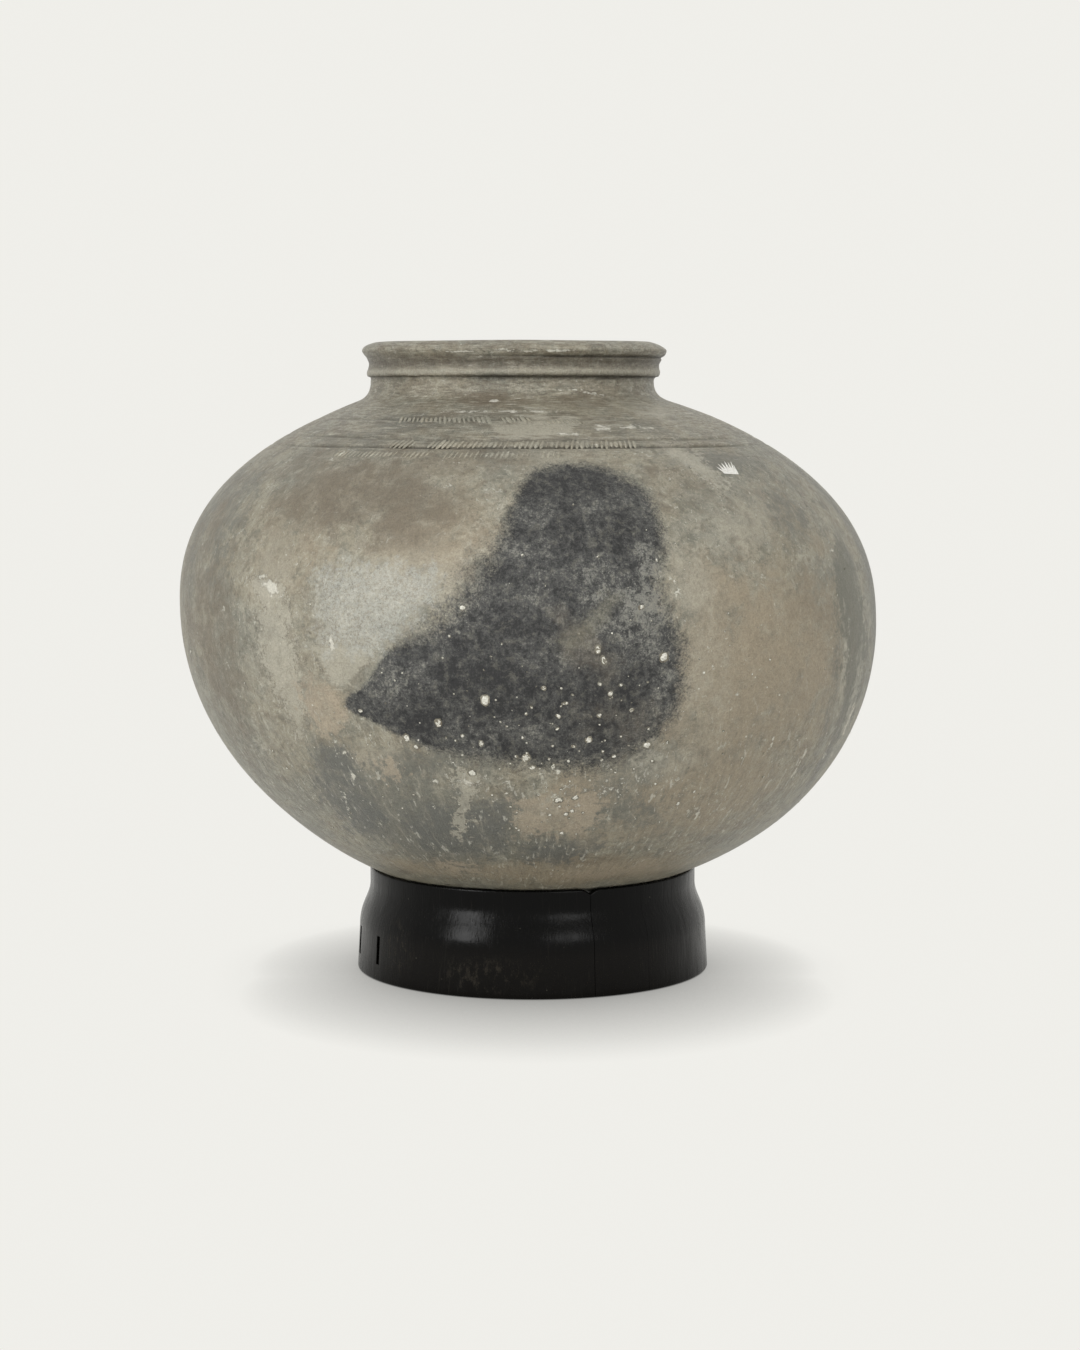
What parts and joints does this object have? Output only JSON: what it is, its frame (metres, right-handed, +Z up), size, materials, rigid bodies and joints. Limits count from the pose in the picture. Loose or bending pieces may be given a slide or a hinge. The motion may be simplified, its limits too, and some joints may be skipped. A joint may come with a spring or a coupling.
{
  "type": "clay water pot on ring stand",
  "caption": "Round-bottomed earthenware water pot with a moulded rim, seated loose on a black lacquered coopered wooden ring stand.",
  "frame": {"origin": "on the floor under the middle of the pot's widest circle, which is the bottom centre of the whole part", "axes": "+Z up, -Y towards the pictured front, +X to the right as pictured"},
  "size_m": [0.414, 0.414, 0.3736],
  "materials": {
    "fired_clay": "beaten and low burnished, with fire clouds",
    "black_lacquer": "worn satin black lacquer",
    "bamboo": "bare split bamboo"
  },
  "bodies": {
    "stand": {"stave_01": "black_lacquer", "stave_02": "black_lacquer", "stave_03": "black_lacquer", "stave_04": "black_lacquer", "stave_05": "black_lacquer", "stave_06": "black_lacquer", "stave_07": "black_lacquer", "stave_08": "black_lacquer", "stave_09": "black_lacquer", "stave_10": "black_lacquer", "stave_11": "black_lacquer", "stave_12": "black_lacquer", "stave_13": "black_lacquer", "stave_14": "black_lacquer", "stave_15": "black_lacquer", "stave_16": "black_lacquer", "stave_17": "black_lacquer", "stave_18": "black_lacquer", "bamboo_pin_01": "bamboo", "bamboo_pin_02": "bamboo", "bamboo_pin_03": "bamboo", "bamboo_pin_04": "bamboo", "bamboo_pin_05": "bamboo", "bamboo_pin_06": "bamboo", "bamboo_pin_07": "bamboo", "bamboo_pin_08": "bamboo", "bamboo_pin_09": "bamboo", "bamboo_pin_10": "bamboo", "bamboo_pin_11": "bamboo", "bamboo_pin_12": "bamboo", "bamboo_pin_13": "bamboo", "bamboo_pin_14": "bamboo", "bamboo_pin_15": "bamboo", "bamboo_pin_16": "bamboo", "bamboo_pin_17": "bamboo", "bamboo_pin_18": "bamboo"},
    "pot": {"clay_pot": "fired_clay"}
  },
  "joints": [
    {"name": "pot_lift", "type": "slide", "parent": "stand", "child": "pot", "axis": [0, 0, 1], "range_m": [0, 0.1]}
  ]
}
